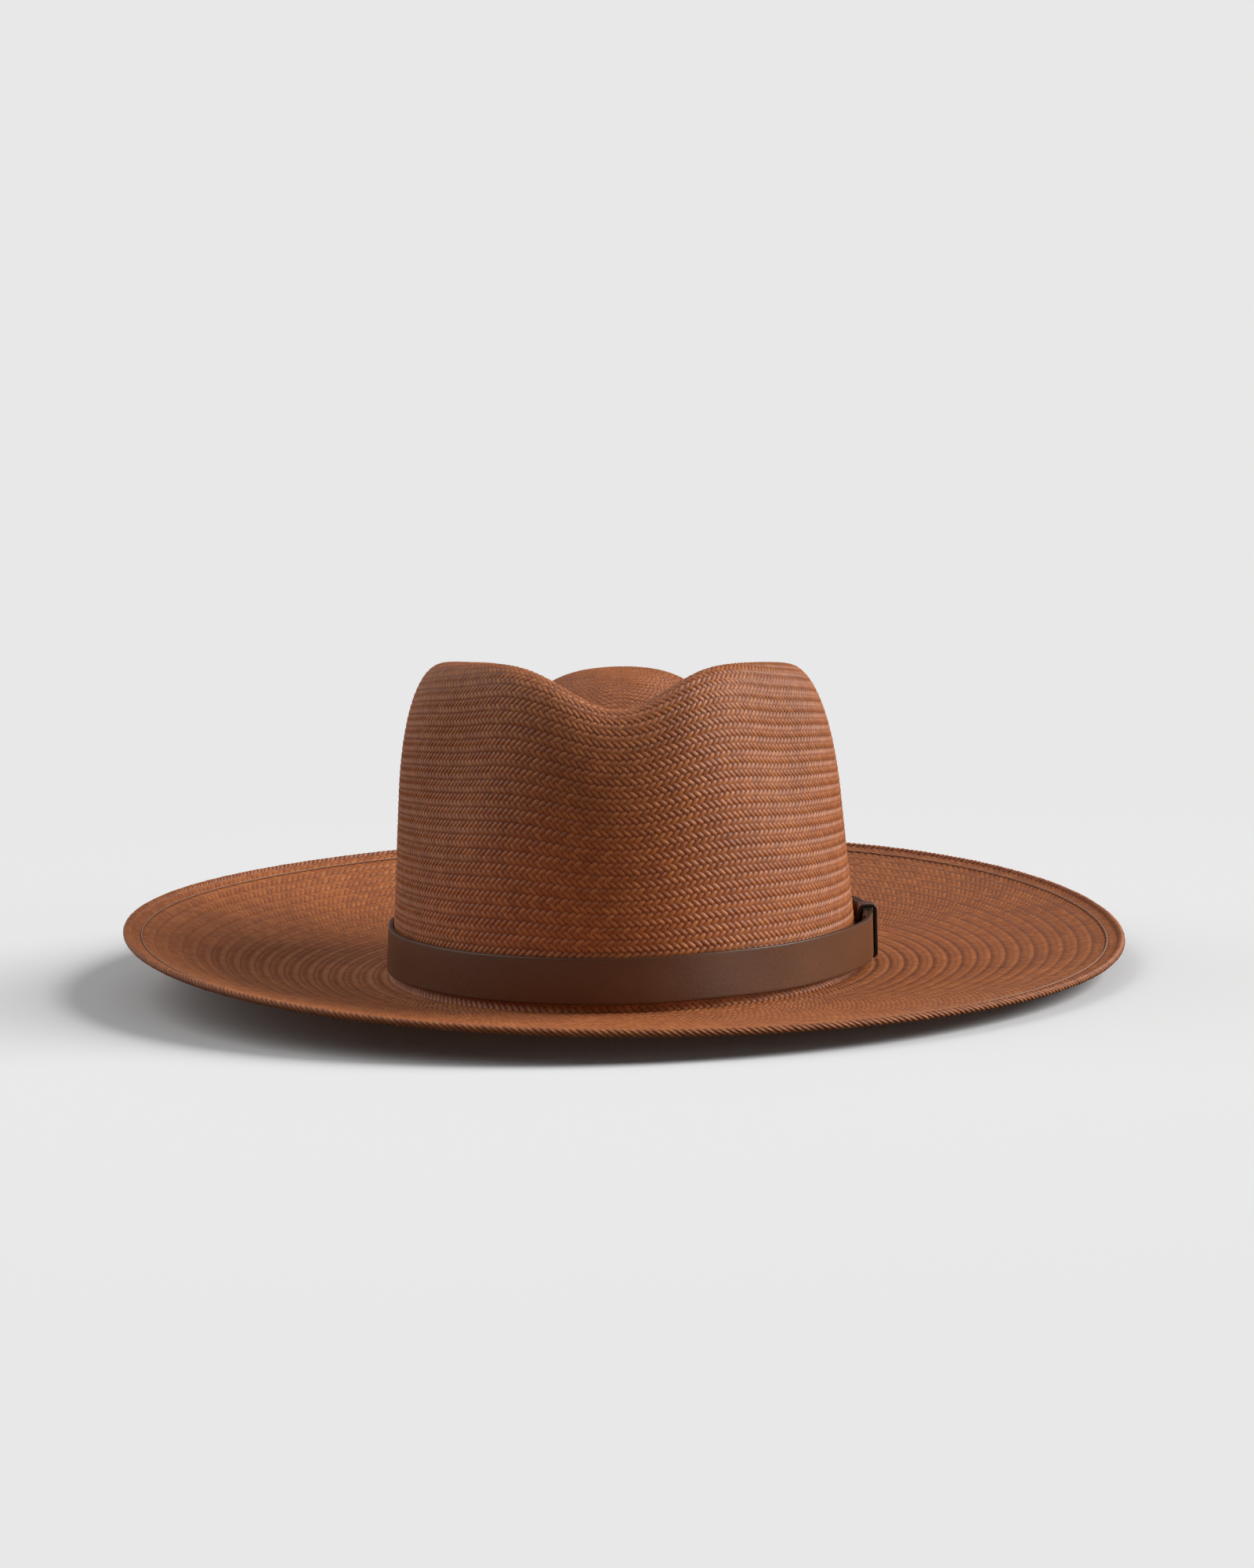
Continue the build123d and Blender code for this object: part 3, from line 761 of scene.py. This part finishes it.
def make_band():
    """One strap round the crown, its end lapped over its start on the wearer's left."""
    start, end = radians(BAND_START), radians(BAND_END)
    steps = int(1300 * FINE)
    angle = np.linspace(start, end, steps)
    rise = np.clip((angle - radians(LAP_START)) / radians(LAP_TURN), 0, 1)
    layer = (rise * rise * (3 - 2 * rise)) * (BAND_LEATHER + 0.04 * MM)
    height = BAND_HIGH - BAND_LOW
    section = fill_section(rounded_section(BAND_LEATHER, height, 0.45 * MM), 0.8 * MM)
    half_width = BAND_HALF_WIDTH + BAND_LEATHER / 2 + layer
    half_length = BAND_HALF_LENGTH + BAND_LEATHER / 2 + layer
    place = np.stack([BAND_SHIFT + half_width * np.cos(angle), half_length * np.sin(angle)], 1)
    out = np.stack([half_length * np.cos(angle), half_width * np.sin(angle)], 1)
    out /= np.linalg.norm(out, axis=1, keepdims=True)
    left = (end - angle) * 0.1
    tip = np.sqrt(np.clip(1 - (1 - np.clip(left / 0.007, 0, 1)) ** 2, 0.02, 1))
    wave = 0.12 * MM * np.sin(5 * angle + 1.0) + 0.08 * MM * np.sin(9 * angle)
    points = np.empty((steps, len(section), 3))
    free = np.clip((0.95 - np.cos(angle)) / 0.5, 0, 1)[:, None]
    inset = section[None, :, 0] - CROWN_TAPER * free * (section[None, :, 1] + height / 2)
    points[:, :, 0] = place[:, 0:1] + out[:, 0:1] * inset
    points[:, :, 1] = place[:, 1:2] + out[:, 1:2] * inset
    middle = (BAND_LOW + BAND_HIGH) / 2
    points[:, :, 2] = middle + wave[:, None] + section[None, :, 1] * tip[:, None]
    b = Builder()
    grid = b.add_grid(points, (0, 0, 1, 0.94), wrap=(False, True))
    b.add_cap(grid[0], centre=(0.3, 0.97))
    b.add_cap(grid[-1], flip=True, centre=(0.7, 0.97))
    band = b.build("leather_band", BAND_LOOK, "hat", ("hat_band",))
    edge = np.clip((np.abs(section[:, 1]) - (height / 2 - 0.7 * MM)) / (0.7 * MM), 0, 1)
    add_attribute(band, "edge", np.tile(edge, steps))
    return band


KEEPER_LEATHER = 1.2 * MM


def make_keeper():
    """Leather loop round the band: a bent strip with rounded, dark painted edges."""
    low, high = map(Vector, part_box("band_keeper"))
    leather = KEEPER_LEATHER
    width = high.y - low.y
    outline = rounded_section(high.x - low.x - leather, high.z - low.z - leather, 1.3 * MM, 8)
    outline = fill_section(outline, 0.5 * MM)
    tangent = np.roll(outline, -1, 0) - np.roll(outline, 1, 0)
    normal = np.stack([tangent[:, 1], -tangent[:, 0]], 1)
    normal /= np.linalg.norm(normal, axis=1, keepdims=True)
    section = fill_section(rounded_section(leather, width, 0.4 * MM), 0.6 * MM)
    middle = (low + high) / 2
    points = np.empty((len(outline), len(section), 3))
    points[:, :, 0] = middle.x + outline[:, 0:1] + normal[:, 0:1] * section[None, :, 0]
    points[:, :, 1] = middle.y + section[None, :, 1]
    points[:, :, 2] = middle.z + outline[:, 1:2] + normal[:, 1:2] * section[None, :, 0]
    b = Builder()
    b.add_grid(points, (0, 0, 1, 1), wrap=(True, True), flip=True)
    keeper = b.build("keeper_loop", KEEPER_LOOK, "keeper", ("band_keeper",))
    edge = np.clip((np.abs(section[:, 1]) - (width / 2 - 0.5 * MM)) / (0.35 * MM), 0, 1)
    add_attribute(keeper, "edge", np.tile(edge, len(outline)))
    return keeper


SWEAT_LEATHER, SWEAT_CLEARANCE, SWEAT_LEAN = 0.9 * MM, 0.3 * MM, 0.0893
SWEAT_LOW, SWEAT_HIGH = (corner.z for corner in map(Vector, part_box("sweatband")))


def make_sweatband():
    """Leather strip inside the opening, with a thin pressed line along its top edge."""
    columns = int(960 * FINE)
    angle = angles_of(columns)
    height = SWEAT_HIGH - SWEAT_LOW
    section = fill_section(rounded_section(SWEAT_LEATHER, height, 0.35 * MM), 0.5 * MM)
    up = section[:, 1] + height / 2
    press = 0.18 * MM * np.exp(-((up - height + 4 * MM) / (0.5 * MM)) ** 2)
    inset = section[:, 0] + press * (section[:, 0] < 0)
    ripple = 0.10 * MM * np.sin(23 * angle)
    offset = -STRAW - SWEAT_CLEARANCE - SWEAT_LEATHER / 2 - SWEAT_LEAN * up
    radius = oval_radius(angle[:, None], (offset + inset)[None, :] - np.abs(ripple)[:, None])
    points = np.stack([radius * np.cos(angle)[:, None], radius * np.sin(angle)[:, None],
                       SWEAT_LOW + up[None, :] + 0 * radius], 2)
    b = Builder()
    b.add_grid(points, (0, 0, 1, 1), wrap=(True, True))
    band = b.build("sweatband_leather", SWEAT_LOOK, "hat", ("sweatband",))
    edge = np.clip((np.abs(section[:, 1]) - (height / 2 - 0.6 * MM)) / (0.6 * MM), 0, 1)
    add_attribute(band, "edge", np.tile(edge, columns))
    return band


def add_stitch(b, middle, along, out, length, radius, area):
    """One stitch: a short thread that arches over the leather and dips in at both ends."""
    steps, sides = 9, 8
    t = np.linspace(-1, 1, steps)
    side = np.cross(out, along)
    rise = radius * 1.6 * np.sqrt(np.clip(1 - t**4, 0, 1))
    thick = radius * np.clip(1.15 - t**6, 0.3, 1)
    around = np.arange(sides) * 2 * pi / sides
    centre = middle + along * (t * length / 2)[:, None] + out * (rise - radius)[:, None]
    points = (centre[:, None, :] + thick[:, None, None]
              * (np.cos(around)[None, :, None] * side + np.sin(around)[None, :, None] * out))
    grid = b.add_grid(points, area, wrap=(False, True))
    b.add_cap(grid[0], centre=(area[0], area[1]), size=0.001)
    b.add_cap(grid[-1], flip=True, centre=(area[2], area[1]), size=0.001)


def sweat_point(angle, up):
    """Place on the sweatband's inner face, with directions along the band and towards the head."""
    offset = -STRAW - SWEAT_CLEARANCE - SWEAT_LEATHER - SWEAT_LEAN * up
    half_width, half_length = HEAD_HALF_WIDTH + offset, HEAD_HALF_LENGTH + offset
    place = np.array([half_width * cos(angle), half_length * sin(angle), SWEAT_LOW + up])
    along = np.array([-half_width * sin(angle), half_length * cos(angle), 0.0])
    along /= np.linalg.norm(along)
    out = np.array([-along[1], along[0], 0.0])
    return place, along, out


STITCH_COUNT, STITCH_LENGTH, STITCH_RADIUS = 100, 3.6 * MM, 0.22 * MM
STITCH_RAISE = 2.5 * MM           # above the leather's lower edge
SEAM_STITCH_COUNT, SEAM_STITCH_LENGTH, SEAM_STITCH_RADIUS = 7, 5.0 * MM, 0.2 * MM


def make_sweatband_stitches():
    """Zigzag round the sweatband's lower edge."""
    count = STITCH_COUNT
    b = Builder()
    for k in range(count):
        place, along, out = sweat_point(2 * pi * (k + 0.5) / count, STITCH_RAISE)
        slant = along + np.array([0, 0, 0.45 * (-1) ** k])
        slant /= np.linalg.norm(slant)
        u = k / count
        add_stitch(b, place, slant, out, STITCH_LENGTH, STITCH_RADIUS,
                   (u, 0.1, u + 0.8 / count, 0.9))
    b.build("zigzag_stitches", LIGHT_THREAD_LOOK, "hat", ("sweatband_stitches",))


def make_seam_stitches():
    """Crossed stitches up the sweatband's back seam."""
    count = SEAM_STITCH_COUNT
    step = (SWEAT_HIGH - SWEAT_LOW - STITCH_RAISE) / (count + 1)
    b = Builder()
    for k in range(count):
        up = STITCH_RAISE + (k + 1) * step
        place, along, out = sweat_point(pi / 2, up)
        for lean in (-0.5, 0.5):
            slant = along + np.array([0, 0, lean])
            slant /= np.linalg.norm(slant)
            u = (2 * k + (lean > 0)) / (2 * count)
            add_stitch(b, place + out * 0.05 * MM * (lean > 0), slant, out, SEAM_STITCH_LENGTH,
                       SEAM_STITCH_RADIUS, (u, 0.1, u + 0.4 / count, 0.9))
    b.build("seam_stitches", LIGHT_THREAD_LOOK, "hat",
            ("sweatband_seam_stitches",))


TAG_WIDTH, TAG_HEIGHT, TAG_THICKNESS = 22 * MM, 14 * MM, 0.5 * MM
TAG_ANGLE = 125                   # degrees, behind and to the wearer's right


def make_tag():
    """Blank woven size tag sewn on the sweatband's inner face."""
    width, height, thick = TAG_WIDTH, TAG_HEIGHT, TAG_THICKNESS
    section = fill_section(rounded_section(thick, height, 0.2 * MM, 3), 0.7 * MM)
    middle = radians(TAG_ANGLE)
    span = width / (HEAD_HALF_LENGTH * 0.9)
    b = Builder()
    columns = 40
    points = np.empty((columns, len(section), 3))
    for k, angle in enumerate(np.linspace(middle - span / 2, middle + span / 2, columns)):
        up = (SWEAT_HIGH - SWEAT_LOW) / 2
        place, _, out = sweat_point(angle, up)
        bow = 0.35 * MM + 0.3 * MM * sin(pi * k / (columns - 1))
        for m, (x, z) in enumerate(section):
            lean = -SWEAT_LEAN * z
            points[k, m] = place + out * (bow + x - lean) + np.array([0, 0, z])
    grid = b.add_grid(points, (0, 0, 1, 0.94), wrap=(False, True))
    b.add_cap(grid[0], centre=(0.3, 0.97))
    b.add_cap(grid[-1], flip=True, centre=(0.7, 0.97))
    tag = b.build("blank_size_tag", TAPE_LOOK, "hat", ("size_tag",))
    return tag


def dress_cad_nodes():
    """Materials for the CAD pieces that keep their shape."""
    for node, look in (("sweatband_reed", PIPING_LOOK), ("band_tacks", THREAD_LOOK)):
        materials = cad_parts[node].data.materials
        materials.clear()
        materials.append(look)


# ---- Stage, light and camera -----------------------------------------------------------------
PALE, DIM = (0.807, 0.807, 0.807), (0.05, 0.05, 0.05)
FLOOR_SIZE, FLOOR_SHADE = 30.0, 0.80
FADE_START, FADE_END = 0.26, 0.60      # the floor fades out between these distances


def make_stage():
    """Pale floor round the hat that fades into an even pale surround."""
    n = Nodes("pale_floor")
    n.shader.inputs["Base Color"].default_value = (FLOOR_SHADE, FLOOR_SHADE, FLOOR_SHADE, 1)
    n.shader.inputs["Roughness"].default_value = 0.9
    n.shader.inputs["Specular IOR Level"].default_value = 0.1
    glow = n.node("ShaderNodeEmission")
    glow.inputs["Color"].default_value = (*PALE, 1)
    distance = n.node("ShaderNodeVectorMath", operation="LENGTH")
    n.link(n.coordinates(), distance.inputs[0])
    fade = n.node("ShaderNodeMapRange", interpolation_type="SMOOTHSTEP")
    fade.inputs["From Min"].default_value = FADE_START
    fade.inputs["From Max"].default_value = FADE_END
    n.link(distance.outputs["Value"], fade.inputs["Value"])
    mixed = n.node("ShaderNodeMixShader")
    n.link(fade.outputs[0], mixed.inputs[0])
    n.link(n.shader.outputs[0], mixed.inputs[1])
    n.link(glow.outputs[0], mixed.inputs[2])
    n.link(mixed.outputs[0], n.tree.nodes["Material Output"].inputs["Surface"])
    mesh = bpy.data.meshes.new("floor")
    corners = [(x * FLOOR_SIZE, y * FLOOR_SIZE, 0) for x, y in ((-1, -1), (1, -1), (1, 1), (-1, 1))]
    mesh.from_pydata(corners, [], [(0, 1, 2, 3)])
    mesh.materials.append(n.material)
    floor = bpy.data.objects.new("floor", mesh)
    bpy.context.scene.collection.objects.link(floor)
    floor.visible_diffuse = False
    floor.visible_glossy = False


def make_surround():
    """Even pale light low down all round, dim overhead, so that the lamps give the shading."""
    world = bpy.data.worlds.new("surround")
    world.use_nodes = True
    bpy.context.scene.world = world
    tree = world.node_tree
    source = tree.nodes.new("ShaderNodeTexCoord")
    split = tree.nodes.new("ShaderNodeSeparateXYZ")
    ramp = tree.nodes.new("ShaderNodeValToRGB")
    shift = tree.nodes.new("ShaderNodeMath")
    shift.inputs[1].default_value = 0.5
    stops = ((0.47, DIM), (0.49, PALE), (0.60, PALE), (0.66, DIM))
    elements = ramp.color_ramp.elements
    while len(elements) < len(stops):
        elements.new(0.5)
    for element, (place, colour) in zip(elements, stops):
        element.position = place
        element.color = (*colour, 1)
    tree.links.new(source.outputs["Generated"], split.inputs[0])
    tree.links.new(split.outputs[2], shift.inputs[0])
    tree.links.new(shift.outputs[0], ramp.inputs[0])
    tree.links.new(ramp.outputs[0], tree.nodes["Background"].inputs["Color"])


def soft_sun(name, azimuth, elevation, spread, strength):
    """Even soft light: azimuth 0 is in front of the hat, 90 is the wearer's left."""
    data = bpy.data.lights.new(name, "SUN")
    data.energy = strength
    data.angle = radians(spread)
    light = bpy.data.objects.new(name, data)
    bpy.context.scene.collection.objects.link(light)
    turn, rise = radians(azimuth - 90), radians(elevation)
    source = Vector((cos(turn) * cos(rise), sin(turn) * cos(rise), sin(rise)))
    light.rotation_euler = (-source).to_track_quat("-Z", "Y").to_euler()
    light.location = source


LENS, SENSOR = 129.8, 36
CAMERA_DISTANCE, CAMERA_RISE, CAMERA_ROLL = 1.6, 6.34, -1.62


def make_camera():
    """Front view from a little above, with a slight roll."""
    distance, rise, roll = CAMERA_DISTANCE, radians(CAMERA_RISE), radians(CAMERA_ROLL)
    target = Vector((2.4 * MM, 0, 66.6 * MM))
    forward = Vector((0, cos(rise), -sin(rise)))
    right = Vector((1, 0, 0))
    up = right.cross(forward)
    turned_right = cos(roll) * right + sin(roll) * up
    turned_up = -sin(roll) * right + cos(roll) * up
    data = bpy.data.cameras.new("camera")
    data.sensor_fit = "HORIZONTAL"
    data.sensor_width = SENSOR
    data.lens = LENS
    data.clip_end = 80
    camera = bpy.data.objects.new("camera", data)
    bpy.context.scene.collection.objects.link(camera)
    matrix = Matrix((turned_right, turned_up, -forward)).transposed().to_4x4()
    matrix.translation = target - forward * distance
    camera.matrix_world = matrix
    bpy.context.scene.camera = camera


make_camera()
make_stage()
make_surround()
soft_sun("key", 96, 34, 38, 3.45)
soft_sun("front", 52, 10, 30, 0.4)
soft_sun("fill", -105, 42, 60, 1.15)
soft_sun("top", 180, 75, 60, 0.3)
bpy.context.scene.view_settings.view_transform = "Standard"

make_crown()
make_brim()
make_braid()
make_hem_thread()
make_band()
make_keeper()
make_sweatband()
make_sweatband_stitches()
make_seam_stitches()
make_tag()
dress_cad_nodes()
